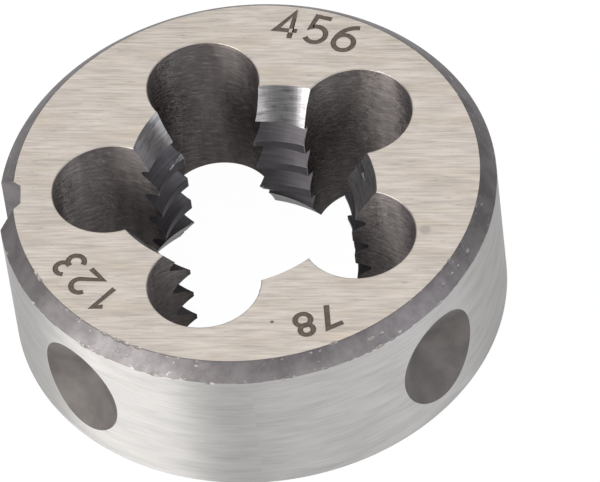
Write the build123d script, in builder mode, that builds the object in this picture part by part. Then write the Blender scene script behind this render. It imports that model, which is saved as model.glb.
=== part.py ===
"""Round threading die: a one-piece hardened steel disc that cuts an outside thread.

The bore carries a right-hand metric thread. Chip holes run through beside the bore and
split the thread into lands of teeth. Both ends of every land are ground back to a
tapered lead-in, so the die starts a cut from either face. A groove and four cone-shaped
dimples in the rim take the screws of the die stock that holds it.

Frame: origin at the centre of the bottom face, +Z up the axis, +Y out through the
groove. Lengths are in millimetres, angles in degrees.
"""

import os
from math import acos, ceil, degrees, floor, radians, tan

from build123d import *

# ---- Driving dimensions ------------------------------------------------------------

# Body
body_diameter = 25.4
body_thickness = 9.5
rim_chamfer = 0.8  # at 45 degrees, round both faces

# Thread
thread_diameter = 12.0  # across the roots
thread_pitch = 1.75
thread_flank = 30.0  # from a flank to the plane square to the axis
root_flat = 1 / 8  # in pitches
crest_flat = 1 / 5  # in pitches
thread_start = 0.4  # height at which a root crosses the +X direction
crest_relief = 0.55  # sideways shift of a land's bore, which lowers its teeth at one end

# Chip holes
land_count = 5
chip_hole_diameter = 5.75
chip_hole_circle = 14.0  # through the hole centres

# Lead-in, ground on both ends of every land
lead_diameter = 13.25  # of its cone, at the face
lead_slope = 30.0  # from the cone's axis to its side
lead_relief = 1.1  # sideways shift of the cone, which clears the teeth behind the edge

# Groove down the rim
groove_depth = 1.2
groove_mouth = 3.4
groove_floor = 1.2

# Screw dimples in the rim
dimple_diameter = 5.8
dimple_point = 120.0  # full angle of the cone
dimple_turns = (45.0, 137.5)  # from the groove, to both sides of it

# Room that a cutter keeps past the surface that it enters
cut_margin = 0.5

# ---- Sizes that follow -------------------------------------------------------------

body_radius = body_diameter / 2
root_radius = thread_diameter / 2
flank_run = tan(radians(thread_flank))
tooth_depth = thread_pitch * (1 - root_flat - crest_flat) / (2 * flank_run)
crest_radius = root_radius - tooth_depth
groove_turn = 90.0
land_step = 360 / land_count
land_turns = [groove_turn + land_step * (land + 0.5) for land in range(land_count)]

# ---- Thread cutter: the V gap between two teeth, wound across one land --------------
# It starts in one chip hole and ends in the next.

gap_sweep = 0.8 * land_step
gap_inner = crest_radius - tooth_depth / 8
gap_root_half = thread_pitch * root_flat / 2
gap_mouth_half = gap_root_half + (root_radius - gap_inner) * flank_run

with BuildPart() as gap_cutter:
    with BuildLine() as gap_path:
        Helix(pitch=thread_pitch, height=thread_pitch * gap_sweep / 360, radius=root_radius)
    with BuildSketch(Plane.XZ):
        with BuildLine():
            Polyline(
                (gap_inner, -gap_mouth_half),
                (root_radius, -gap_root_half),
                (root_radius, gap_root_half),
                (gap_inner, gap_mouth_half),
                close=True,
            )
        make_face()
    sweep(path=gap_path.line, is_frenet=True)

gap_places = []
for land_turn in land_turns:
    gap_turn = land_turn - gap_sweep / 2
    gap_height = thread_start + thread_pitch * gap_turn / 360
    lowest = ceil(-(gap_height + gap_mouth_half) / thread_pitch - gap_sweep / 360)
    highest = floor((body_thickness - gap_height + gap_mouth_half) / thread_pitch)
    for gap in range(lowest, highest + 1):
        gap_places.append(Location((0, 0, gap_height + gap * thread_pitch), (0, 0, gap_turn)))

# ---- Land cutters: sectors of off-centre bodies of revolution ------------------------
# They are made for a land that points along +X. Their axes are shifted clockwise, so that
# they take less at the land's counterclockwise edge, where the teeth cut, and more behind
# it. A sector's two sides pass through the middles of the chip holes beside the land.

chip_hole_place = chip_hole_circle / 2
chip_hole_radius = chip_hole_diameter / 2


def land_sector(shift):
    """The foot of the shifted axis, and the directions of the sector's two sides."""
    centre = Vector(0, -shift, 0)
    start, end = [
        Vector(chip_hole_place, 0, 0).rotate(Axis.Z, turn) - centre
        for turn in (-land_step / 2, land_step / 2)
    ]
    return centre, start, end


# The bore of a land: it passes through the crest at the cutting edge
crest_centre, crest_start, crest_end = land_sector(crest_relief)
edge_turn = land_step / 2 - degrees(
    acos(
        (chip_hole_place**2 + crest_radius**2 - chip_hole_radius**2)
        / (2 * chip_hole_place * crest_radius)
    )
)
crest_edge = Vector(crest_radius, 0, 0).rotate(Axis.Z, edge_turn)
land_bore_radius = (crest_edge - crest_centre).length

with BuildPart() as crest_cutter:
    with BuildSketch(
        Plane(origin=crest_centre, x_dir=crest_start, z_dir=crest_start.rotate(Axis.Z, -90))
    ):
        Rectangle(land_bore_radius, body_thickness, align=Align.MIN)
    revolve(axis=Axis(crest_centre, (0, 0, 1)), revolution_arc=crest_start.get_angle(crest_end))

# The lead-in of a land: a cone on its tip, drawn for a face at height 0
lead_centre, lead_start, lead_end = land_sector(lead_relief)
lead_radius = lead_diameter / 2
lead_run = tan(radians(lead_slope))

with BuildPart() as lead_cutter:
    with BuildSketch(
        Plane(origin=lead_centre, x_dir=lead_start, z_dir=lead_start.rotate(Axis.Z, -90))
    ):
        with BuildLine():
            Polyline(
                (0, -lead_radius / lead_run),
                (lead_radius + cut_margin * lead_run, cut_margin),
                (0, cut_margin),
                close=True,
            )
        make_face()
    revolve(axis=Axis(lead_centre, (0, 0, 1)), revolution_arc=lead_start.get_angle(lead_end))

top_face = Location((0, 0, body_thickness))
bottom_face = Location((0, 0, 0), (180, 0, 0))

# ---- Dimple cutter: a cone on its tip -----------------------------------------------

dimple_run = tan(radians(dimple_point / 2))
dimple_depth = dimple_diameter / 2 / dimple_run
dimple_cone_height = dimple_depth + cut_margin
dimple_tips = [
    Plane(
        origin=Vector(body_radius - dimple_depth, 0, body_thickness / 2).rotate(Axis.Z, turn),
        z_dir=Vector(1, 0, 0).rotate(Axis.Z, turn),
    )
    for side in (-1, 1)
    for turn in [groove_turn + side * dimple_turn for dimple_turn in dimple_turns]
]

# ---- The die ------------------------------------------------------------------------

with BuildPart() as threading_die:
    # Body and bore
    with BuildSketch(Plane.XZ):
        with BuildLine():
            Polyline(
                (crest_radius, 0),
                (body_radius - rim_chamfer, 0),
                (body_radius, rim_chamfer),
                (body_radius, body_thickness - rim_chamfer),
                (body_radius - rim_chamfer, body_thickness),
                (crest_radius, body_thickness),
                close=True,
            )
        make_face()
    revolve(axis=Axis.Z)

    # Chip holes, the first in line with the groove
    with BuildSketch(Plane.XY):
        with PolarLocations(chip_hole_place, land_count, start_angle=groove_turn):
            Circle(chip_hole_radius)
    extrude(amount=body_thickness, mode=Mode.SUBTRACT)

    # Thread, left on the lands only
    with Locations(gap_places):
        add(gap_cutter.part, mode=Mode.SUBTRACT)

    # Relief of the crests, and the lead-ins of both faces
    with PolarLocations(0, land_count, start_angle=land_turns[0]):
        add(crest_cutter.part, mode=Mode.SUBTRACT)
        with Locations(top_face, bottom_face):
            add(lead_cutter.part, mode=Mode.SUBTRACT)

    # Groove
    with BuildSketch(Plane.XY):
        with BuildLine():
            Polyline(
                (-groove_floor / 2, body_radius - groove_depth),
                (groove_floor / 2, body_radius - groove_depth),
                (groove_mouth / 2, body_radius),
                (groove_mouth / 2, body_radius + cut_margin),
                (-groove_mouth / 2, body_radius + cut_margin),
                (-groove_mouth / 2, body_radius),
                close=True,
            )
        make_face()
    extrude(amount=body_thickness, mode=Mode.SUBTRACT)

    # Screw dimples
    with Locations(dimple_tips):
        Cone(
            bottom_radius=0,
            top_radius=dimple_cone_height * dimple_run,
            height=dimple_cone_height,
            align=(Align.CENTER, Align.CENTER, Align.MIN),
            mode=Mode.SUBTRACT,
        )

threading_die.part.label = "threading_die"

os.makedirs("parts", exist_ok=True)
export_step(threading_die.part, "parts/threading_die.step")
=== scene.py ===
"""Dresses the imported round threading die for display.

The die is one piece. It is built here once more as one fine mesh of the same form, with
rounded rim edges, broken tooth tips, small nicks and etched digits, and stands for the
CAD node. Sizes are in millimetres and angles in degrees until a mesh is made; meshes are
in metres, in the frame of the CAD: +Z up the axis, +Y out through the groove.
"""

import logging
import math
import random
from collections.abc import Sequence
from dataclasses import dataclass, field
from enum import Enum

import bpy
from mathutils import Matrix, Vector


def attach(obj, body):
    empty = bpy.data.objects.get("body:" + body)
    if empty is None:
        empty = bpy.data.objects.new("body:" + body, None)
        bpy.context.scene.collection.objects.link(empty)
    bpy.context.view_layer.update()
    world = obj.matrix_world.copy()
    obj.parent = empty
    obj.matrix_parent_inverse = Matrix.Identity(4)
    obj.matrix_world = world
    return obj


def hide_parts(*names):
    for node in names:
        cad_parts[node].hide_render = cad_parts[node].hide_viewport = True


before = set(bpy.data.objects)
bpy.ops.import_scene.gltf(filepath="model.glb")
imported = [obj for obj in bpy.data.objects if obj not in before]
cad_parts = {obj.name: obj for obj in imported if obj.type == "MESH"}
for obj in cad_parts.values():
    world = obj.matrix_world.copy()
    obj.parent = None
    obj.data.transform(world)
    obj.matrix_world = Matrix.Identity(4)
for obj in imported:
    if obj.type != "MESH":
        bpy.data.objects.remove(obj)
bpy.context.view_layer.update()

MM = 0.001
NODE = "threading_die"
BODY = "root"

log = logging.getLogger("die")

Point = tuple[float, float, float]
Pair = tuple[float, float]
Colour = tuple[float, float, float]


# ---- Mesh making ----


def polar(radius: float, turn: float, height: float = 0.0) -> Point:
    """The point at a radius, a turn about +Z and a height."""
    angle = math.radians(turn)
    return radius * math.cos(angle), radius * math.sin(angle), height


def spun(spot: Sequence[float], turn: float) -> Point:
    """A point, turned about +Z."""
    return tuple(Matrix.Rotation(math.radians(turn), 3, "Z") @ Vector(spot))


def arc(centre: Pair, radius: float, start: float, end: float, steps: int) -> list[Pair]:
    """Points of an arc in a plane.

    Args:
        centre: the arc's centre.
        radius: its radius.
        start: turn of its first point.
        end: turn of its last point.
        steps: number of equal steps between them.

    Returns:
        The points, both ends included.
    """
    turns = [math.radians(start + (end - start) * step / steps) for step in range(steps + 1)]
    return [
        (centre[0] + radius * math.cos(turn), centre[1] + radius * math.sin(turn))
        for turn in turns
    ]


def loft(name: str, rings: Sequence[Sequence[Point]], closed: bool = False) -> bpy.types.Object:
    """A closed body through rings of points.

    Args:
        name: name of the new object and its mesh.
        rings: loops with the same number of points.
        closed: whether the last ring joins the first. Otherwise both ends get a cap.

    Returns:
        The new object, with its faces turned outwards.
    """
    count = len(rings[0])
    points = [tuple(c * MM for c in point) for ring in rings for point in ring]
    faces = []
    for ring in range(len(rings) - (0 if closed else 1)):
        here, there = ring * count, (ring + 1) % len(rings) * count
        for side in range(count):
            after = (side + 1) % count
            faces.append((here + side, here + after, there + after, there + side))
    if not closed:
        faces.append(tuple(reversed(range(count))))
        faces.append(tuple(range(len(points) - count, len(points))))
    mesh = bpy.data.meshes.new(name)
    mesh.from_pydata(points, [], faces)
    body = bpy.data.objects.new(name, mesh)
    bpy.context.scene.collection.objects.link(body)
    face_outwards(mesh)
    return body


def face_outwards(mesh: bpy.types.Mesh) -> None:
    """Turns a closed mesh inside out if it encloses a negative volume.

    Args:
        mesh: the mesh.
    """
    mesh.calc_loop_triangles()
    volume = 0.0
    for triangle in mesh.loop_triangles:
        a, b, c = (mesh.vertices[corner].co for corner in triangle.vertices)
        volume += a.dot(b.cross(c))
    if volume < 0:
        mesh.flip_normals()


def settle(body: bpy.types.Object) -> None:
    """Applies the modifiers of a body to its mesh.

    Args:
        body: the body.
    """
    graph = bpy.context.evaluated_depsgraph_get()
    mesh = bpy.data.meshes.new_from_object(body.evaluated_get(graph))
    body.modifiers.clear()
    body.data = mesh


def cut(body: bpy.types.Object, cutter: bpy.types.Object) -> None:
    """Takes a cutter away from a body and removes the cutter.

    Args:
        body: what is cut.
        cutter: a closed body.
    """
    cutting = body.modifiers.new("cut", "BOOLEAN")
    cutting.operation = "DIFFERENCE"
    cutting.solver = "MANIFOLD"
    cutting.object = cutter
    settle(body)
    bpy.data.objects.remove(cutter)


# ---- Shader maths ----


class Value:
    """A number or colour socket. Sums of numbers are written with it."""

    def __init__(self, bench: "Bench", socket: bpy.types.NodeSocket) -> None:
        """Wraps one output socket of a bench's tree."""
        self.bench = bench
        self.socket = socket

    def __add__(self, other: "Number") -> "Value":
        """self + other."""
        return self.bench.sum("ADD", self, other)

    def __sub__(self, other: "Number") -> "Value":
        """self - other."""
        return self.bench.sum("SUBTRACT", self, other)

    def __rsub__(self, other: "Number") -> "Value":
        """other - self."""
        return self.bench.sum("SUBTRACT", other, self)

    def __mul__(self, other: "Number") -> "Value":
        """self * other."""
        return self.bench.sum("MULTIPLY", self, other)

    def __truediv__(self, other: "Number") -> "Value":
        """self / other."""
        return self.bench.sum("DIVIDE", self, other)

    def __rtruediv__(self, other: "Number") -> "Value":
        """other / self."""
        return self.bench.sum("DIVIDE", other, self)

    def __pow__(self, other: "Number") -> "Value":
        """self ** other."""
        return self.bench.sum("POWER", self, other)

    def __rpow__(self, other: "Number") -> "Value":
        """other ** self."""
        return self.bench.sum("POWER", other, self)

    __radd__ = __add__
    __rmul__ = __mul__


Number = Value | float


class Bench:
    """The node tree of a material or a world, emptied and built up again."""

    def __init__(self, owner: bpy.types.Material | bpy.types.World) -> None:
        """Empties the tree.

        Args:
            owner: the material or world that holds it.
        """
        owner.use_nodes = True
        self.tree = owner.node_tree
        self.tree.nodes.clear()

    def node(
        self, kind: str, settings: dict | None = None, inputs: dict | None = None
    ) -> bpy.types.Node:
        """Makes a node. Every node of the scene comes from here.

        Args:
            kind: the node's type.
            settings: its settings, which are set first.
            inputs: the values or links of its sockets, by name or index.

        Returns:
            The node.
        """
        node = self.tree.nodes.new(kind)
        for name, setting in (settings or {}).items():
            setattr(node, name, setting)
        for name, value in (inputs or {}).items():
            if isinstance(value, Value):
                self.tree.links.new(value.socket, node.inputs[name])
            else:
                node.inputs[name].default_value = value
        return node

    def add(
        self,
        kind: str,
        settings: dict | None = None,
        inputs: dict | None = None,
        output: int | str = 0,
    ) -> Value:
        """Makes a node and wraps one of its outputs, by name or index."""
        return Value(self, self.node(kind, settings, inputs).outputs[output])

    def sum(self, operation: str, *terms: Number) -> Value:
        """A Math node of its terms."""
        return self.add("ShaderNodeMath", {"operation": operation}, dict(enumerate(terms)))

    def rays(self, *kinds: str) -> list[Value]:
        """Whether a ray is of each kind, by the names of the Light Path node."""
        outputs = self.node("ShaderNodeLightPath").outputs
        return [Value(self, outputs[kind]) for kind in kinds]

    def place(self) -> list[Value]:
        """The place on the piece.

        Returns:
            Its x, y and z, in millimetres.
        """
        where = self.add("ShaderNodeTexCoord", output="Object")
        split = self.node("ShaderNodeSeparateXYZ", inputs={0: where})
        return [Value(self, output) / MM for output in split.outputs]

    def step(self, value: Value, low: float, high: float) -> Value:
        """A smooth rise from 0 at low to 1 at high, which may be the lower one."""
        inputs = {"Value": value, "From Min": low, "From Max": high}
        return self.add("ShaderNodeMapRange", {"interpolation_type": "SMOOTHSTEP"}, inputs)

    def blend(self, share: Number, first: Value | Colour, second: Value | Colour) -> Value:
        """A colour between two.

        Args:
            share: how much of the second.
            first: one colour.
            second: the other.

        Returns:
            The colour.
        """
        sides = [side if isinstance(side, Value) else (*side, 1.0) for side in (first, second)]
        # Inputs 6 and 7 and output 2 are the ones for colours.
        inputs = {0: share, 6: sides[0], 7: sides[1]}
        return self.add("ShaderNodeMix", {"data_type": "RGBA"}, inputs, 2)


# ---- Finishes ----


@dataclass(frozen=True)
class Grain:
    """Noise over a surface, and how much of it shows."""

    waves: Sequence[float] = (1.0, 1.0, 1.0)
    scale: float = 1.0
    detail: float = 3.0
    roughness: float = 0.6
    level: float = 0.0  # the place along a direction that isn't given
    low: float = 0.3  # noise that shows as 0
    high: float = 0.7  # noise that shows as 1
    share: float = 1.0

    def lay(self, *ways: Value) -> Value:
        """The noise.

        Args:
            ways: the place along one, two or three directions, in millimetres.

        Returns:
            The noise, from 0 to 1.
        """
        bench = ways[0].bench
        ends = [way if wave == 1.0 else way * wave for way, wave in zip(ways, self.waves)]
        ends += [self.level] * (3 - len(ends))
        where = bench.add("ShaderNodeCombineXYZ", inputs=dict(enumerate(ends)))
        inputs = {
            "Vector": where,
            "Scale": self.scale,
            "Detail": self.detail,
            "Roughness": self.roughness,
        }
        return bench.add("ShaderNodeTexNoise", {"noise_dimensions": "3D"}, inputs, "Fac")

    def show(self, noise: Value) -> Value:
        """The part of its noise that shows."""
        shown = noise.bench.step(noise, self.low, self.high)
        return shown if self.share == 1.0 else shown * self.share


@dataclass
class Coat:
    """What varies over a surface: its colour, its grain and, if it isn't the grain, its relief."""

    colour: Value
    grain: Value
    relief: Value | None = None


@dataclass(frozen=True)
class Finish:
    """A finish of the steel."""

    name: str = "steel"
    light: Colour = (0.6, 0.6, 0.6)
    dark: Colour = (0.3, 0.3, 0.3)
    smooth: float = 0.4  # lowest roughness
    spread: float = 0.2  # what the grain adds to it
    depth: float = 0.006
    brushed: float = 0.0
    brushed_turn: float = 0.25  # a quarter runs round the axis
    edge: float = 0.05
    edge_samples: int = 6
    metal: float = 1.0

    def coat(self, bench: Bench) -> Coat:
        """What varies over the surface. Each finish has its own."""
        raise NotImplementedError

    def make(self) -> bpy.types.Material:
        """Builds the material.

        Returns:
            The material.
        """
        material = bpy.data.materials.new(self.name)
        bench = Bench(material)
        coat = self.coat(bench)
        height = coat.grain if coat.relief is None else coat.relief
        bump = {"Height": height, "Distance": self.depth * MM, "Strength": 1.0}
        if self.edge:
            rounding = {"Radius": self.edge * MM}
            bump["Normal"] = bench.add("ShaderNodeBevel", {"samples": self.edge_samples}, rounding)
        inputs = {
            "Base Color": coat.colour,
            "Roughness": coat.grain * self.spread + self.smooth if self.spread else self.smooth,
            "Metallic": self.metal,
            "Anisotropic": self.brushed,
            "Anisotropic Rotation": self.brushed_turn,
            "Normal": bench.add("ShaderNodeBump", inputs=bump),
        }
        shader = bench.add("ShaderNodeBsdfPrincipled", inputs=inputs)
        bench.node("ShaderNodeOutputMaterial", inputs={"Surface": shader})
        return material


@dataclass(frozen=True)
class Stain:
    """A dark stain on the top face: its middle, its radius and how dark it is."""

    middle: Pair
    radius: float
    share: float


@dataclass(frozen=True)
class GroundFace(Finish):
    """The flat faces, surface-ground in straight lines, with two stains on the top one."""

    name: str = "ground_face"
    light: Colour = (0.66, 0.605, 0.56)
    dark: Colour = (0.39, 0.353, 0.325)
    tint: Colour = (0.62, 0.55, 0.475)
    stain: Colour = (0.12, 0.10, 0.09)
    smooth: float = 0.34
    spread: float = 0.16
    line_turn: float = 85.0
    fine: Grain = Grain((0.45, 8.0), roughness=0.65, low=0.36, high=0.70, share=0.50)
    broad: Grain = Grain((0.35, 2.2), level=3.0, roughness=0.55, low=0.35, high=0.72, share=0.32)
    dash: Grain = Grain(
        (1.6, 7.0), level=7.0, detail=1.0, roughness=0.5, low=0.64, high=0.78, share=0.40
    )
    patch: Grain = Grain((0.25, 0.9), level=11.0, low=0.45, high=0.68)
    stains: Sequence[Stain] = (
        Stain((-9.5, -1.22), radius=0.13, share=0.9),
        Stain((-4.14, -9.0), radius=0.42, share=0.3),
    )
    stain_fade: Pair = (1.5, 0.9)  # where a stain ends and where it is full, in radii
    stain_heights: Pair = (9.0, 9.2)  # stains show above these

    def coat(self, bench: Bench) -> Coat:
        """What varies over the surface.

        Args:
            bench: the bench of the material.

        Returns:
            The coat.
        """
        x, y, z = bench.place()
        c, s = math.cos(math.radians(self.line_turn)), math.sin(math.radians(self.line_turn))
        along, across = x * c + y * s, y * c - x * s
        fine, broad, dash, patch = (
            grain.lay(along, across) for grain in (self.fine, self.broad, self.dash, self.patch)
        )
        shade = self.fine.show(fine) + self.broad.show(broad) + self.dash.show(dash)
        colour = bench.blend(self.patch.show(patch), self.light, self.tint)
        colour = bench.blend(shade, colour, self.dark)
        on_top = bench.step(z, *self.stain_heights)
        for stain in self.stains:
            away = ((x - stain.middle[0]) ** 2.0 + (y - stain.middle[1]) ** 2.0) ** 0.5
            outside, inside = (stain.radius * fade for fade in self.stain_fade)
            spot = bench.step(away + fine * stain.radius, outside, inside)
            colour = bench.blend(spot * on_top * stain.share, colour, self.stain)
        return Coat(colour, fine)


@dataclass(frozen=True)
class GroundRound(Finish):
    """What is ground round the axis, at about one radius from it."""

    brushed: float = 0.9
    radius: float = 1.0
    fine: Grain = Grain()
    broad: Grain = Grain()

    def coat(self, bench: Bench) -> Coat:
        """What varies over the surface.

        Args:
            bench: the bench of the material.

        Returns:
            The coat.
        """
        x, y, z = bench.place()
        around = bench.sum("ARCTAN2", y, x) * self.radius
        fine = self.fine.lay(around, z)
        shade = self.fine.show(fine) + self.broad.show(self.broad.lay(around, z))
        return Coat(bench.blend(shade, self.light, self.dark), fine)


@dataclass(frozen=True)
class GroundRim(GroundRound):
    """The rim."""

    name: str = "ground_rim"
    light: Colour = (0.57, 0.56, 0.55)
    dark: Colour = (0.42, 0.412, 0.407)
    smooth: float = 0.42
    spread: float = 0.12
    radius: float = 12.7
    fine: Grain = Grain((0.4, 9.0), roughness=0.65, low=0.35, high=0.72, share=0.45)
    broad: Grain = Grain((0.3, 1.4), level=5.0, high=0.75, share=0.5)


@dataclass(frozen=True)
class GroundLead(GroundRound):
    """The lead-ins, ground bright. Their colour is mottled down towards a dark one, which is
    painted shade of the bore.
    """

    name: str = "ground_lead"
    light: Colour = (0.50, 0.49, 0.50)
    # the dark colour is painted shade of the bore, far darker than the ground steel of the rim
    dark: Colour = (0.185, 0.178, 0.182)
    smooth: float = 0.26
    spread: float = 0.10
    edge: float = 0.04
    radius: float = 5.5
    fine: Grain = Grain((0.8, 11.0), low=0.35, share=0.6)
    broad: Grain = Grain((1.4, 3.0), level=4.0, low=0.45, high=0.75, share=0.5)


@dataclass(frozen=True)
class WornChamfer(Finish):
    """The chamfers and the groove: darker, with bare specks on the chamfers' edges."""

    name: str = "worn_chamfer"
    light: Colour = (0.22, 0.205, 0.21)
    dark: Colour = (0.15, 0.138, 0.142)
    bare: Colour = (0.44, 0.42, 0.40)
    smooth: float = 0.38
    edge: float = 0.06
    cloud: Grain = Grain(scale=0.9, detail=5.0, roughness=0.65)
    fine: Grain = Grain(scale=6.0, detail=4.0, roughness=0.7)
    speck: Grain = Grain((3.0, 3.0, 8.0), detail=2.0, low=0.69, high=0.78)
    worn: Grain = Grain(scale=0.4, detail=2.0, roughness=0.5, low=0.50, high=0.62)
    half_height: float = 4.75
    chamfer_height: float = 4.35
    edge_gain: float = 0.26
    reach: Pair = (0.60, 0.48)  # specks end this far from a chamfer's middle

    def coat(self, bench: Bench) -> Coat:
        """What varies over the surface.

        Args:
            bench: the bench of the material.

        Returns:
            The coat.
        """
        x, y, z = bench.place()
        height = bench.sum("ABSOLUTE", z - self.half_height)
        off_middle = bench.sum("ABSOLUTE", height - self.chamfer_height)
        bare = self.speck.show(self.speck.lay(x, y, z) + off_middle * self.edge_gain)
        bare = bare * self.worn.show(self.worn.lay(x, y, z))
        bare = bare * bench.step(off_middle, *self.reach)
        cloud = self.cloud.show(self.cloud.lay(x, y, z))
        colour = bench.blend(cloud, self.light, self.dark)
        return Coat(bench.blend(bare, colour, self.bare), self.fine.lay(x, y, z))


@dataclass(frozen=True)
class DrilledWall(Finish):
    """The walls of the chip holes: dark, with pale slanting scratches and lighter vertical
    streaks. The dark colour is partly the steel's scale and partly painted shade of the deep
    holes; the lighter vertical streaks are painted highlights.
    """

    name: str = "drilled_wall"
    # light and dark: partly the steel's scale, partly painted shade of the deep holes
    light: Colour = (0.33, 0.30, 0.285)
    dark: Colour = (0.165, 0.149, 0.15)
    bare: Colour = (0.60, 0.55, 0.51)
    smooth: float = 0.44
    depth: float = 0.22
    brushed: float = 0.93
    slant: Point = (1.2, 0.8, 5.5)
    scratch: Grain = Grain((1.6, 1.6, 1.0), detail=4.0, roughness=0.65, low=0.35, share=0.5)
    # vertical streaks painted lighter in the colour: painted highlights
    painted_highlight_streak: Grain = Grain((0.9, 0.9, 0.14), roughness=0.55, low=0.42, high=0.68, share=0.5)
    bare_range: Pair = (0.55, 0.75)
    bare_share: float = 0.3

    def coat(self, bench: Bench) -> Coat:
        """What varies over the surface.

        Args:
            bench: the bench of the material.

        Returns:
            The coat.
        """
        x, y, z = bench.place()
        slant = z * self.slant[2] + x * self.slant[0] - y * self.slant[1]
        scratch = self.scratch.lay(x, y, slant)
        # the streaks lighten the colour: painted highlights on the walls
        shade = self.scratch.show(scratch) + self.painted_highlight_streak.show(self.painted_highlight_streak.lay(x, y, z))
        colour = bench.blend(shade, self.dark, self.light)
        bare = bench.step(scratch, *self.bare_range) * self.bare_share
        return Coat(bench.blend(bare, colour, self.bare), scratch)


@dataclass(frozen=True)
class CutThread(Finish):
    """The teeth: smooth dark steel with fine lines along the helix."""

    name: str = "cut_thread"
    light: Colour = (0.145, 0.137, 0.147)
    dark: Colour = (0.08, 0.075, 0.083)
    smooth: float = 0.34
    spread: float = 0.12
    depth: float = 0.004
    brushed: float = 0.5
    pitch: float = 1.75
    line: Grain = Grain((1.2, 9.0, 9.0), detail=2.0, roughness=0.5, high=0.75, share=0.5)
    cloud: Grain = Grain(scale=0.8, roughness=0.5, low=0.35, share=0.5)

    def coat(self, bench: Bench) -> Coat:
        """What varies over the surface.

        Args:
            bench: the bench of the material.

        Returns:
            The coat.
        """
        x, y, z = bench.place()
        radius = (x * x + y * y) ** 0.5
        turn = bench.sum("ARCTAN2", y, x)
        rise = z - turn * (self.pitch / (2 * math.pi))
        line = self.line.lay(turn, radius, rise)
        shade = self.line.show(line) + self.cloud.show(self.cloud.lay(x, y, z))
        return Coat(bench.blend(shade, self.dark, self.light), line)


@dataclass(frozen=True)
class DrilledDimple(Finish):
    """The screw dimples: matt, with the drill's rings."""

    name: str = "drilled_dimple"
    light: Colour = (0.24, 0.22, 0.213)
    dark: Colour = (0.145, 0.134, 0.131)
    smooth: float = 0.66
    spread: float = 0.15
    depth: float = 0.012
    edge: float = 0.0
    fine: Grain = Grain(scale=5.0)
    ring: Grain = Grain((14.0,), detail=1.0, roughness=0.5)
    cloud: Grain = Grain(scale=0.9, roughness=0.5, share=0.5)
    fine_share: float = 0.5

    def coat(self, bench: Bench) -> Coat:
        """What varies over the surface.

        Args:
            bench: the bench of the material.

        Returns:
            The coat.
        """
        x, y, z = bench.place()
        fine = self.fine.lay(x, y, z)
        shade = fine * self.fine_share + self.cloud.show(self.cloud.lay(x, y, z))
        ring = self.ring.lay((x * x + y * y) ** 0.5)
        relief = ring * (1.0 - self.fine_share) + fine * self.fine_share
        return Coat(bench.blend(shade, self.dark, self.light), fine, relief)


@dataclass(frozen=True)
class SmallFloor(Finish):
    """The floors of small cuts: one fine grain."""

    depth: float = 0.01
    edge: float = 0.0
    fine: Grain = Grain(scale=7.0)

    def coat(self, bench: Bench) -> Coat:
        """What varies over the surface."""
        fine = self.fine.lay(*bench.place())
        return Coat(bench.blend(self.fine.show(fine), self.dark, self.light), fine)


@dataclass(frozen=True)
class EtchedMark(SmallFloor):
    """The floors of the etched digits: dull brown."""

    name: str = "etched_mark"
    light: Colour = (0.16, 0.13, 0.105)
    dark: Colour = (0.10, 0.082, 0.066)
    smooth: float = 0.75
    spread: float = 0.0
    metal: float = 0.2


@dataclass(frozen=True)
class BareNick(SmallFloor):
    """The floors of the nicks, where brighter steel shows."""

    name: str = "bare_nick"
    light: Colour = (0.44, 0.42, 0.40)
    dark: Colour = (0.28, 0.265, 0.255)
    smooth: float = 0.42
    fine: Grain = Grain(scale=8.0, detail=2.0, low=0.35, high=0.65)


class Zone(Enum):
    """Where a face of the die lies, with its finish."""

    FACE = GroundFace()
    RIM = GroundRim()
    CHAMFER = WornChamfer()
    WALL = DrilledWall()
    THREAD = CutThread()
    LEAD = GroundLead()
    DIMPLE = DrilledDimple()
    MARK = EtchedMark()
    NICK = BareNick()


# ---- The die and what is cut out of it ----


@dataclass
class Blank:
    """The turned disc."""

    radius: float = 12.699
    thickness: float = 9.5
    chamfer: float = 0.8
    pilot: float = 4.0
    edge: float = 0.1
    edge_steps: int = 3
    sides: int = 360
    margin: float = 0.5  # how far a cutter stands out of it

    @property
    def ends(self) -> Pair:
        """Heights at which a cutter that goes through it starts and ends."""
        return -self.margin, self.thickness + self.margin

    def build(self) -> bpy.types.Object:
        """Makes the disc, with its pilot hole.

        Returns:
            The disc.
        """
        profile = [(self.pilot, 0.0)]
        corners = [
            (self.radius - self.chamfer, 0.0, -90.0, -45.0),
            (self.radius, self.chamfer, -45.0, 0.0),
            (self.radius, self.thickness - self.chamfer, 0.0, 45.0),
            (self.radius - self.chamfer, self.thickness, 45.0, 90.0),
        ]
        for r, z, start, end in corners:
            profile += self.rounded(r, z, start, end)
        profile.append((self.pilot, self.thickness))
        rings = [
            [polar(r, 360.0 * side / self.sides, z) for r, z in profile]
            for side in range(self.sides)
        ]
        return loft("die_blank", rings, closed=True)

    def rounded(self, r: float, z: float, start: float, end: float) -> list[Pair]:
        """The small arc that rounds one corner.

        Args:
            r: the sharp corner's radius from the axis.
            z: its height.
            start: turn of the outward normal before the corner.
            end: turn of the outward normal behind it.

        Returns:
            The arc's points.
        """
        middle = math.radians((start + end) / 2)
        reach = self.edge / math.cos(math.radians((end - start) / 2))
        centre = (r - reach * math.cos(middle), z - reach * math.sin(middle))
        return arc(centre, self.edge, start, end, self.edge_steps)


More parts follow.
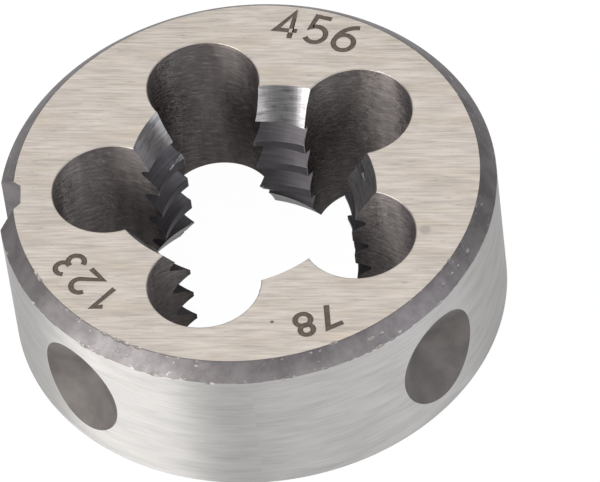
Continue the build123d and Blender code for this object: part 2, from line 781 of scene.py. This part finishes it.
@dataclass
class ChipHoles:
    """The five holes beside the bore, with broken mouths."""

    count: int = 5
    radius: float = 2.875
    place: float = 7.0
    first_turn: float = 90.0
    mouth: float = 0.06  # width and depth of a broken mouth
    bend: Pair = (0.3, 0.35)  # its bend, as shares of them
    sides: int = 120

    @property
    def step(self) -> float:
        """Turn from one hole to the next."""
        return 360.0 / self.count

    def centres(self) -> list[Point]:
        """The holes' centres on the plane of the bottom face."""
        return [polar(self.place, self.first_turn + self.step * i) for i in range(self.count)]

    def away(self, spot: Vector) -> float:
        """Distance of a point from the axis of the nearest hole."""
        return min(math.hypot(spot.x - x, spot.y - y) for x, y, _ in self.centres())

    def land(self, index: int) -> float:
        """Turn of the middle of the land behind a hole."""
        return self.first_turn + self.step * (index + 0.5)

    def build(self, blank: Blank) -> list[bpy.types.Object]:
        """Makes one cutter for each hole.

        Args:
            blank: the disc.

        Returns:
            The cutters.
        """
        wide = self.radius + self.mouth
        bend, down = self.radius + self.mouth * self.bend[0], self.mouth * self.bend[1]
        levels = [(wide, -blank.margin), (wide, 0.0), (bend, down), (self.radius, self.mouth)]
        levels += [(radius, blank.thickness - z) for radius, z in reversed(levels)]
        made = []
        for x, y, _ in self.centres():
            rings = []
            for radius, z in levels:
                ring = [polar(radius, 360.0 * side / self.sides, z) for side in range(self.sides)]
                rings.append([(x + p[0], y + p[1], p[2]) for p in ring])
            made.append(loft("chip_hole", rings))
        return made


@dataclass
class Thread:
    """The bore and the V gaps between its teeth."""

    pitch: float = 1.75
    root_radius: float = 6.0
    flank: float = 30.0
    root_flat: float = 1 / 8
    crest_flat: float = 1 / 5
    start: float = 0.4  # height of a gap's middle at turn 0
    relief: float = 0.55  # sideways shift of a land's bore
    sweep: float = 57.6  # turn that a land's gaps run through
    steps: int = 40
    reach: float = 0.13  # the gaps start this far inside the crests
    tip: float = 0.05  # size of the broken edges of a crest
    break_in: float = 0.45  # widening of a gap at the crest, in tips
    break_out: float = 1.3  # and a tip inside the crest
    root_rise: float = 0.03
    root_widen: float = 0.017
    root_narrow: float = 0.02

    @property
    def flank_run(self) -> float:
        """Height that a flank rises for each millimetre outwards."""
        return math.tan(math.radians(self.flank))

    @property
    def root_half(self) -> float:
        """Half the height of a root."""
        return self.pitch * self.root_flat / 2

    @property
    def crest_radius(self) -> float:
        """Radius of the crests at the cutting edges."""
        depth = self.pitch * (1 - self.root_flat - self.crest_flat) / (2 * self.flank_run)
        return self.root_radius - depth

    def crest_at(self, turn: float, holes: ChipHoles) -> float:
        """Radius of a land's bore.

        Args:
            turn: angle from the land's middle.
            holes: the chip holes that bound it.

        Returns:
            The radius there, which grows clockwise.
        """
        r, p, h = self.crest_radius, holes.place, holes.radius
        edge = math.pi / holes.count - math.acos((p * p + r * r - h * h) / (2 * p * r))
        bore = math.hypot(r * math.cos(edge), r * math.sin(edge) + self.relief)
        a = math.radians(turn)
        across = self.relief * math.cos(a)
        return math.sqrt(bore * bore - across * across) - self.relief * math.sin(a)

    def build_bore(self, holes: ChipHoles, blank: Blank) -> bpy.types.Object:
        """Makes the cutter of the relieved bore.

        Args:
            holes: the chip holes.
            blank: the disc.

        Returns:
            The cutter.
        """
        outline = []
        for land in range(holes.count):
            for i in range(self.steps):
                turn = holes.step * ((i + 0.5) / self.steps - 0.5)
                outline.append((self.crest_at(turn, holes), holes.land(land) + turn))
        return loft("bore", [[polar(r, a, z) for r, a in outline] for z in blank.ends])

    def build_gaps(self, holes: ChipHoles, blank: Blank) -> list[bpy.types.Object]:
        """Makes a cutter for each gap of each land.

        Args:
            holes: the chip holes.
            blank: the disc.

        Returns:
            The cutters.
        """
        inner = self.crest_radius - self.reach
        mouth_half = self.root_half + (self.root_radius - inner) * self.flank_run
        made = []
        for land in range(holes.count):
            middle = holes.land(land)
            height = self.start + self.pitch * (middle - self.sweep / 2) / 360
            lowest = math.ceil(-(height + mouth_half) / self.pitch - self.sweep / 360)
            highest = math.floor((blank.thickness - height + mouth_half) / self.pitch)
            for gap in range(lowest, highest + 1):
                rings = []
                for i in range(self.steps + 1):
                    turn = self.sweep * (i / self.steps - 0.5)
                    lift = height + gap * self.pitch + self.pitch * (turn + self.sweep / 2) / 360
                    profile = self.gap_profile(self.crest_at(turn, holes))
                    rings.append([polar(r, middle + turn, lift + z) for r, z in profile])
                made.append(loft("thread_gap", rings))
        return made

    def gap_profile(self, crest: float) -> list[Pair]:
        """The section of a gap, which widens where it meets a crest.

        Args:
            crest: the crest's radius.

        Returns:
            Its points, as radius and height.
        """
        tip, run = self.tip, self.flank_run
        near_half = self.root_half + (self.root_radius - crest - tip) * run
        upper = [
            (crest - tip, near_half + tip * (run + self.break_out)),
            (crest, near_half + tip * (run + self.break_in)),
            (crest + tip, near_half),
            (self.root_radius - self.root_rise, self.root_half + self.root_widen),
            (self.root_radius, self.root_half - self.root_narrow),
        ]
        return upper + [(r, -z) for r, z in reversed(upper)]


@dataclass
class LeadIns:
    """The tapered ends of the lands."""

    radius: float = 6.625
    slope: float = 30.0  # angle between the cone's side and the axis
    relief: float = 1.1  # sideways shift of the cone
    inner: float = 3.0  # where the cutters start
    steps: int = 36
    slack: float = 0.03  # a point this near to the cone is on it

    @property
    def run(self) -> float:
        """How far the cone's side runs out for each millimetre of height."""
        return math.tan(math.radians(self.slope))

    def sides(self, holes: ChipHoles) -> Pair:
        """The sector's two sides, as turns about the shifted axis. They end in the holes."""
        ends = [polar(holes.place, turn) for turn in (-holes.step / 2, holes.step / 2)]
        return tuple(math.degrees(math.atan2(y + self.relief, x)) for x, y, _ in ends)

    def build(self, holes: ChipHoles, blank: Blank) -> list[bpy.types.Object]:
        """Makes the cutters of both ends of every land.

        Args:
            holes: the chip holes.
            blank: the disc.

        Returns:
            The cutters.
        """
        start, end = self.sides(holes)
        section = [
            (self.inner, -(self.radius - self.inner) / self.run),
            (self.radius, 0.0),
            (self.radius + blank.margin * self.run, blank.margin),
            (self.inner, blank.margin),
        ]
        turns = [start + (end - start) * i / self.steps for i in range(self.steps + 1)]
        cone = [[polar(r, turn, z) for r, z in section] for turn in turns]
        top = [[(x, y - self.relief, z + blank.thickness) for x, y, z in ring] for ring in cone]
        bottom = [[(x, self.relief - y, -z) for x, y, z in ring] for ring in cone]
        return [
            loft("lead_in", [[spun(spot, holes.land(land)) for spot in ring] for ring in rings])
            for land in range(holes.count)
            for rings in (top, bottom)
        ]

    def covers(self, spot: Vector, holes: ChipHoles, blank: Blank) -> bool:
        """Whether a point of the die lies on a lead-in.

        Args:
            spot: the point.
            holes: the chip holes.
            blank: the disc.

        Returns:
            Whether it does.
        """
        turn = math.degrees(math.atan2(spot.y, spot.x)) - holes.first_turn
        x, y, _ = polar(math.hypot(spot.x, spot.y), turn % holes.step - holes.step / 2)
        for down, shift in ((blank.thickness - spot.z, self.relief), (spot.z, -self.relief)):
            side = self.radius - down * self.run
            if abs(math.hypot(x, y + shift) - side) < self.slack:
                return True
        return False


@dataclass
class Groove:
    """The groove down the rim."""

    depth: float = 1.2
    mouth: float = 3.4
    floor: float = 1.2

    def build(self, blank: Blank) -> bpy.types.Object:
        """Makes its cutter.

        Args:
            blank: the disc.

        Returns:
            The cutter.
        """
        low, out = blank.radius - self.depth, blank.radius + blank.margin
        slope = (self.mouth - self.floor) / 2 / self.depth
        wide = self.mouth / 2 + blank.margin * slope
        half = self.floor / 2
        outline = [(-half, low), (half, low), (wide, out), (-wide, out)]
        return loft("groove", [[(x, y, z) for x, y in outline] for z in blank.ends])


@dataclass
class Dimples:
    """The four cone-shaped seats for screws."""

    radius: float = 2.9
    point: float = 120.0
    turns: Sequence[float] = (45.0, 135.0, 227.5, 312.5)
    tip: float = 0.02  # radius of the blunt point
    tip_round: float = 0.25  # radius at which its rounding ends
    tip_drop: float = 0.03  # depth that the rounding adds there
    sides: int = 96

    def build(self, blank: Blank) -> list[bpy.types.Object]:
        """Makes one cutter for each dimple.

        Args:
            blank: the disc.

        Returns:
            The cutters.
        """
        run = math.tan(math.radians(self.point / 2))
        depth = self.radius / run
        deepest, height = blank.radius - depth, blank.thickness / 2
        levels = [
            (self.tip, 0.0),
            (self.tip_round, self.tip_round / run - self.tip_drop),
            ((depth + blank.margin) * run, depth + blank.margin),
        ]
        made = []
        for turn in self.turns:
            rings = []
            for radius, out in levels:
                ring = [polar(radius, 360.0 * side / self.sides) for side in range(self.sides)]
                rings.append([spun((deepest + out, y, z + height), turn) for y, z, _ in ring])
            made.append(loft("dimple", rings))
        return made


@dataclass(frozen=True)
class Nick:
    """A small dent: a ball, stretched round the die."""

    turn: float
    middle: Vector
    size: float
    stretch: float = 2.2
    sides: int = 10
    rings: int = 7
    end: float = 86.0  # latitude of its last ring
    shell: Pair = (0.85, 1.03)  # a point between these is on it, in radii

    def build(self) -> bpy.types.Object:
        """Makes its cutter.

        Returns:
            The cutter.
        """
        loops = []
        for i in range(self.rings):
            wide, along, _ = polar(1.0, self.end * (2.0 * i / (self.rings - 1) - 1.0))
            loop = []
            for side in range(self.sides):
                out, up, _ = polar(self.size * wide, 360.0 * side / self.sides)
                spot = self.middle + Vector((out, along * self.size * self.stretch, up))
                loop.append(spun(spot, self.turn))
            loops.append(loop)
        return loft("nick", loops)

    def covers(self, spot: Vector) -> bool:
        """Whether a point of the die lies on its floor."""
        x, y, z = Vector(spun(spot, -self.turn)) - self.middle
        return self.shell[0] < math.hypot(x, y / self.stretch, z) / self.size < self.shell[1]


@dataclass
class Nicks:
    """The nicks of the top chamfer, by turn: on its upper edge, its lower edge and between."""

    high: Sequence[float] = (116.8, 118.4, 142.8, 145.5, 146.9, 149.2, 152.6, 201.0, 238.5)
    low: Sequence[float] = (121.5, 139.0, 158.0, 171.0, 187.5, 208.5, 211.0, 214.5, 229.0)
    middle: Sequence[float] = (147.8, 150.5, 209.8, 212.6, 233.0, 236.5, 239.2, 244.0, 301.0)
    sizes: Pair = (0.07, 0.14)
    lifts: Pair = (0.55, 0.75)  # height of a ball over the chamfer, in radii
    edge_lift: float = 0.5
    seed: int = 5

    def place(self, blank: Blank) -> list[Nick]:
        """Places the nicks.

        Args:
            blank: the disc that they are in.

        Returns:
            The nicks.
        """
        draw = random.Random(self.seed)
        outwards = Vector((1, 0, 1)).normalized()
        # The turns of each row, its share of the way down the chamfer, and its share of the lift.
        rows = (
            (self.high, 0.0, self.edge_lift),
            (self.low, 1.0, self.edge_lift),
            (self.middle, 0.5, 1.0),
        )
        made = []
        for turns, share, lift in rows:
            down = share * blank.chamfer
            spot = Vector((blank.radius - blank.chamfer + down, 0, blank.thickness - down))
            for turn in turns:
                size = draw.uniform(*self.sizes)
                away = outwards * size * draw.uniform(*self.lifts)
                made.append(Nick(turn, spot + away * lift, size))
        return made


Stroke = tuple[list[Pair], bool]

# The strokes of each digit, on a square of side 1, and whether each is a closed loop.
STROKES: dict[str, list[Stroke]] = {
    "1": [([(0.08, 0.78), (0.32, 1.0), (0.32, 0.0)], False)],
    "2": [(arc((0.3, 0.71), 0.29, 165, -38, 14) + [(0.0, 0.0), (0.62, 0.0)], False)],
    "3": [
        (arc((0.28, 0.75), 0.25, 150, -95, 14), False),
        (arc((0.28, 0.26), 0.27, 95, -150, 14), False),
    ],
    "4": [([(0.46, 0.0), (0.46, 1.0), (0.0, 0.3), (0.64, 0.3)], False)],
    "5": [
        ([(0.56, 1.0), (0.12, 1.0), (0.07, 0.53)] + arc((0.29, 0.31), 0.31, 122, -145, 16), False)
    ],
    "6": [
        (arc((0.29, 0.3), 0.3, 0, 345, 20), True),
        (arc((0.66, 0.36), 0.67, 107, 182, 8), False),
    ],
    "7": [([(0.0, 1.0), (0.58, 1.0), (0.2, 0.0)], False)],
    "8": [
        (arc((0.3, 0.76), 0.235, 0, 345, 18), True),
        (arc((0.3, 0.28), 0.28, 0, 345, 18), True),
    ],
}


@dataclass(frozen=True)
class Group:
    """Digits in a row: their radius from the axis, the row's turn and their height."""

    text: str
    radius: float
    turn: float
    size: float


@dataclass
class Digits:
    """Plain digits etched in the top face, which read from outside."""

    groups: Sequence[Group] = (
        Group("456", radius=10.6, turn=-21.0, size=1.75),
        Group("123", radius=10.2, turn=126.8, size=1.55),
        Group("78", radius=10.2, turn=200.0, size=1.4),
    )
    depth: float = 0.03
    above: float = 0.1  # how far the cutters stand over the face
    line: float = 0.27  # width of a stroke
    spacing: float = 0.95  # from digit to digit, as a share of their height
    middle: Pair = (0.3, 0.5)  # the place in a digit that stands on its row
    sharpest: float = 0.5  # blunts corners sharper than this

    def build(self, top: float) -> list[bpy.types.Object]:
        """Makes a cutter for each stroke of each digit.

        Args:
            top: height of the face.

        Returns:
            The cutters.
        """
        left, low = self.middle
        made = []
        for group in self.groups:
            radius, size = group.radius, group.size
            step = math.degrees(size * self.spacing / radius)
            for place, digit in enumerate(group.text):
                turn = group.turn - step * (place - (len(group.text) - 1) / 2) - 90.0
                for path, joined in STROKES[digit]:
                    flat = [((x - left) * size, (y - low) * size + radius) for x, y in path]
                    made.append(self.ribbon(flat, joined, turn, top))
        return made

    def ribbon(
        self, path: Sequence[Pair], joined: bool, turn: float, top: float
    ) -> bpy.types.Object:
        """Makes the cutter of one stroke.

        Args:
            path: the stroke's middle line, for a digit that stands on +Y.
            joined: whether the line's end joins its start.
            turn: turn of the digit about the axis.
            top: height of the face.

        Returns:
            The cutter.
        """
        low, high = top - self.depth, top + self.above
        rings = []
        for place, here in enumerate(path):
            before = path[place - 1] if place or joined else here
            after = path[(place + 1) % len(path)] if place + 1 < len(path) or joined else here
            here = Vector(here)
            into = (here - Vector(before)).normalized()
            onward = (Vector(after) - here).normalized()
            way = (into + onward).normalized()
            lean = max(self.sharpest, way.dot(onward if onward.length else into))
            side = Vector((-way.y, way.x)) * (self.line / 2 / lean)
            left, right = here + side, here - side
            ring = [(*left, low), (*right, low), (*right, high), (*left, high)]
            rings.append([spun(spot, turn) for spot in ring])
        return loft("digit", rings, closed=joined)


@dataclass(frozen=True)
class Limits:
    """What tells the zones of the faces apart, in millimetres, degrees and shares of a normal."""

    flat: float = 0.93
    flat_level: float = 0.004
    turned: float = 0.998
    outer: float = 0.2
    rim: float = 0.05
    rim_slant: float = 22.5
    face_slant: float = 67.5
    groove_reach: float = 2.2
    groove_skin: float = 0.02
    sloped: float = 0.3
    upright: float = 0.2
    edge: float = 0.05
    edge_level: float = 0.85
    mark_level: float = 0.06
    mark_away: float = 0.1
    mark_radius: float = 7.5
    wall_away: float = 0.07
    dimple_radius: float = 9.5


@dataclass
class Die:
    """The whole die: the blank with everything cut out of it, dressed."""

    blank: Blank = field(default_factory=Blank)
    holes: ChipHoles = field(default_factory=ChipHoles)
    thread: Thread = field(default_factory=Thread)
    leads: LeadIns = field(default_factory=LeadIns)
    groove: Groove = field(default_factory=Groove)
    dimples: Dimples = field(default_factory=Dimples)
    digits: Digits = field(default_factory=Digits)
    nicks: Nicks = field(default_factory=Nicks)
    limits: Limits = Limits()
    sharp: float = 24.0  # least turn of an edge that stays sharp
    dents: list[Nick] = field(init=False)

    def __post_init__(self) -> None:
        """Places the nicks."""
        self.dents = self.nicks.place(self.blank)

    def build(self) -> bpy.types.Object:
        """Makes the die's mesh and gives it its finishes.

        Returns:
            The die.
        """
        body = self.blank.build()
        body.name = "threading_die_fine"
        cutters = [self.thread.build_bore(self.holes, self.blank)]
        cutters += self.thread.build_gaps(self.holes, self.blank)
        cutters += self.holes.build(self.blank)
        cutters += self.leads.build(self.holes, self.blank)
        cutters.append(self.groove.build(self.blank))
        cutters += self.dimples.build(self.blank)
        cutters += self.digits.build(self.blank.thickness)
        cutters += [dent.build() for dent in self.dents]
        for cutter in cutters:
            cut(body, cutter)
        self.dress(body)
        return body

    def zone(self, spot: Vector, normal: Vector) -> Zone:
        """The zone of a face.

        Args:
            spot: its middle, in millimetres.
            normal: its normal.

        Returns:
            The zone.
        """
        limits = self.limits
        radius = math.hypot(spot.x, spot.y)
        level = min(abs(spot.z), abs(spot.z - self.blank.thickness))
        if abs(normal.z) > limits.flat and level < limits.flat_level:
            return Zone.FACE
        outward = (normal.x * spot.x + normal.y * spot.y) / radius
        turned = math.hypot(outward, normal.z) > limits.turned
        if not turned and any(dent.covers(spot) for dent in self.dents):
            return Zone.NICK
        if radius > self.blank.radius - self.blank.chamfer - limits.outer:
            return self.outer_zone(spot, normal, outward)
        away = self.holes.away(spot) - self.holes.radius
        on_mark = level < limits.mark_level and away > limits.mark_away
        if on_mark and radius > limits.mark_radius:
            return Zone.MARK
        if away < limits.wall_away:
            if level < self.holes.mouth and abs(normal.z) > limits.sloped:
                return Zone.FACE
            if abs(normal.z) < limits.upright:
                return Zone.WALL
        if radius > limits.dimple_radius:
            return Zone.DIMPLE
        on_lead = self.leads.covers(spot, self.holes, self.blank)
        return Zone.LEAD if on_lead else Zone.THREAD

    def outer_zone(self, spot: Vector, normal: Vector, outward: float) -> Zone:
        """The zone of a face near the rim.

        Args:
            spot: its middle, in millimetres.
            normal: its normal.
            outward: share of the normal that points away from the axis.

        Returns:
            The zone.
        """
        limits, rim = self.limits, self.blank.radius
        radius = math.hypot(spot.x, spot.y)
        level = min(abs(spot.z), abs(spot.z - self.blank.thickness))
        slant = math.degrees(math.atan2(abs(normal.z), outward))
        if radius > rim - limits.rim and slant < limits.rim_slant:
            return Zone.RIM
        if slant > limits.face_slant:
            return Zone.FACE
        near_groove = math.hypot(spot.x, spot.y - rim) < limits.groove_reach
        if near_groove and radius < rim - limits.groove_skin:
            return Zone.CHAMFER
        on_edge = radius + level > rim - self.blank.chamfer - limits.edge
        if abs(normal.z) > limits.sloped and on_edge and level < limits.edge_level:
            return Zone.CHAMFER
        return Zone.DIMPLE

    def dress(self, body: bpy.types.Object) -> None:
        """Smooths the mesh and gives each face the finish of its zone.

        Args:
            body: the die.
        """
        mesh = body.data
        mesh.materials.clear()
        for zone in Zone:
            mesh.materials.append(zone.value.make())
        slots = {zone: slot for slot, zone in enumerate(Zone)}
        for face in mesh.polygons:
            face.material_index = slots[self.zone(face.center / MM, face.normal)]
        mesh.shade_smooth()
        mesh.set_sharp_from_angle(angle=math.radians(self.sharp))
        weighted = body.modifiers.new("weighted", "WEIGHTED_NORMAL")
        weighted.keep_sharp = True
        weighted.weight = 100
        settle(body)


# ---- Studio ----


@dataclass
class Floor:
    """The pale floor, which shows white to the camera and keeps a soft shadow."""

    side: float = 3.0
    white: float = 0.94
    mirrored: float = 0.34  # how much of the glow the die's gloss sees
    grey: Colour = (0.9, 0.9, 0.9)
    glow: float = 1.04

    def build(self) -> None:
        """Makes the floor."""
        half = self.side / 2
        corners = [(-half, -half, 0), (half, -half, 0), (half, half, 0), (-half, half, 0)]
        mesh = bpy.data.meshes.new("floor")
        mesh.from_pydata(corners, [], [(0, 1, 2, 3)])
        floor = bpy.data.objects.new("floor", mesh)
        bpy.context.scene.collection.objects.link(floor)
        mesh.materials.append(self.material())

    def material(self) -> bpy.types.Material:
        """Diffuse for the light, mostly white for the camera, and clear from below.

        Returns:
            The material.
        """
        material = bpy.data.materials.new("floor")
        bench = Bench(material)
        camera, through, gloss = bench.rays(
            "Is Camera Ray", "Is Transmission Ray", "Is Glossy Ray"
        )
        seen = camera + through + gloss * self.mirrored
        plain = bench.add("ShaderNodeBsdfDiffuse", inputs={"Color": (*self.grey, 1.0)})
        glow = bench.add("ShaderNodeEmission", inputs={"Strength": self.glow})
        clear = bench.add("ShaderNodeBsdfTransparent")
        below = bench.add("ShaderNodeNewGeometry", output="Backfacing")
        lit = bench.add("ShaderNodeMixShader", inputs={0: seen * self.white, 1: plain, 2: glow})
        both = bench.add("ShaderNodeMixShader", inputs={0: below, 1: lit, 2: clear})
        bench.node("ShaderNodeOutputMaterial", inputs={"Surface": both})
        return material


@dataclass
class Lamp:
    """A rectangular soft lamp that points at the die."""

    name: str
    azimuth: float
    elevation: float
    width: float
    height: float
    level: float  # how bright it looks, where 1 is white
    distance: float = 0.6
    colour: Colour = (1.0, 1.0, 1.0)
    watts: float = 4.0  # of a square metre at level 1

    def build(self) -> None:
        """Makes the lamp."""
        light = bpy.data.lights.new(self.name, "AREA")
        light.shape = "RECTANGLE"
        light.size = self.width
        light.size_y = self.height
        light.color = self.colour
        light.energy = self.watts * self.width * self.height * self.level
        lamp = bpy.data.objects.new(self.name, light)
        a, e = math.radians(self.azimuth), math.radians(self.elevation)
        back = Vector((math.cos(a) * math.cos(e), math.sin(a) * math.cos(e), math.sin(e)))
        lamp.location = back * self.distance
        lamp.rotation_mode = "QUATERNION"
        lamp.rotation_quaternion = back.to_track_quat("Z", "Y")
        bpy.context.scene.collection.objects.link(lamp)


@dataclass
class Sky:
    """The light all round: white to the camera and soft on the die."""

    level: float = 0.48

    def build(self) -> None:
        """Makes the world."""
        world = bpy.data.worlds.new("studio")
        bench = Bench(world)
        seen = bench.sum("MAXIMUM", *bench.rays("Is Camera Ray", "Is Transmission Ray"))
        ends = {"Value": seen, "To Min": self.level, "To Max": 1.0}
        level = bench.add("ShaderNodeMapRange", inputs=ends)
        back = bench.add("ShaderNodeBackground", inputs={"Strength": level})
        bench.node("ShaderNodeOutputWorld", inputs={"Surface": back})
        bpy.context.scene.world = world


@dataclass
class Camera:
    """The camera, at the far end of a long lens."""

    location: Point = (-244.9, -23.74, 290.48)
    forward: Point = (0.649332, 0.056809, -0.758380)
    up: Point = (0.760390, -0.065859, 0.646119)
    lens: float = 442.3
    sensor: float = 36.0
    clip: Pair = (0.01, 10.0)

    def build(self) -> None:
        """Makes the camera and hands it to the scene."""
        data = bpy.data.cameras.new("camera")
        data.lens = self.lens
        data.sensor_width = self.sensor
        data.clip_start, data.clip_end = self.clip
        camera = bpy.data.objects.new("camera", data)
        back = -Vector(self.forward).normalized()
        up = Vector(self.up).normalized()
        turn = Matrix((up.cross(back), up, back)).transposed().to_4x4()
        camera.matrix_world = Matrix.Translation(Vector(self.location) * MM) @ turn
        bpy.context.scene.collection.objects.link(camera)
        bpy.context.scene.camera = camera


WARM = (1.0, 0.985, 0.96)
COOL = (0.93, 0.955, 1.0)

LAMPS = (
    Lamp("left_box", 116.0, 31.0, width=0.42, height=0.30, level=2.7, colour=WARM),
    Lamp("left_strip", 117.0, 8.0, width=0.42, height=0.16, level=4.2, colour=WARM),
    Lamp("edge_strip", 144.0, 22.0, width=0.12, height=0.42, level=4.8, colour=WARM),
    Lamp("front_box", 208.0, 22.0, width=0.66, height=0.30, level=1.5),
    Lamp("right_box", 248.0, 26.0, width=0.24, height=0.34, level=1.6, colour=COOL),
    Lamp("right_strip", 264.0, 14.0, width=0.1, height=0.3, level=1.7, colour=COOL),
    Lamp("high_box", 5.0, 82.0, width=0.3, height=0.3, level=0.6, colour=WARM),
    Lamp("top_box", 5.0, 52.0, width=0.6, height=0.5, level=0.65, colour=WARM),
)


def main() -> None:
    """Builds the camera, the studio and the die, and reports each piece."""
    logging.basicConfig(level=logging.INFO, format="%(message)s")
    Camera().build()
    Sky().build()
    Floor().build()
    for lamp in LAMPS:
        lamp.build()
    die = Die().build()
    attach(die, BODY)
    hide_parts(NODE)
    log.info("%s: %d faces", die.name, len(die.data.polygons))
    scene = bpy.context.scene
    scene.view_settings.view_transform = "Standard"


if __name__ == "__main__":
    main()
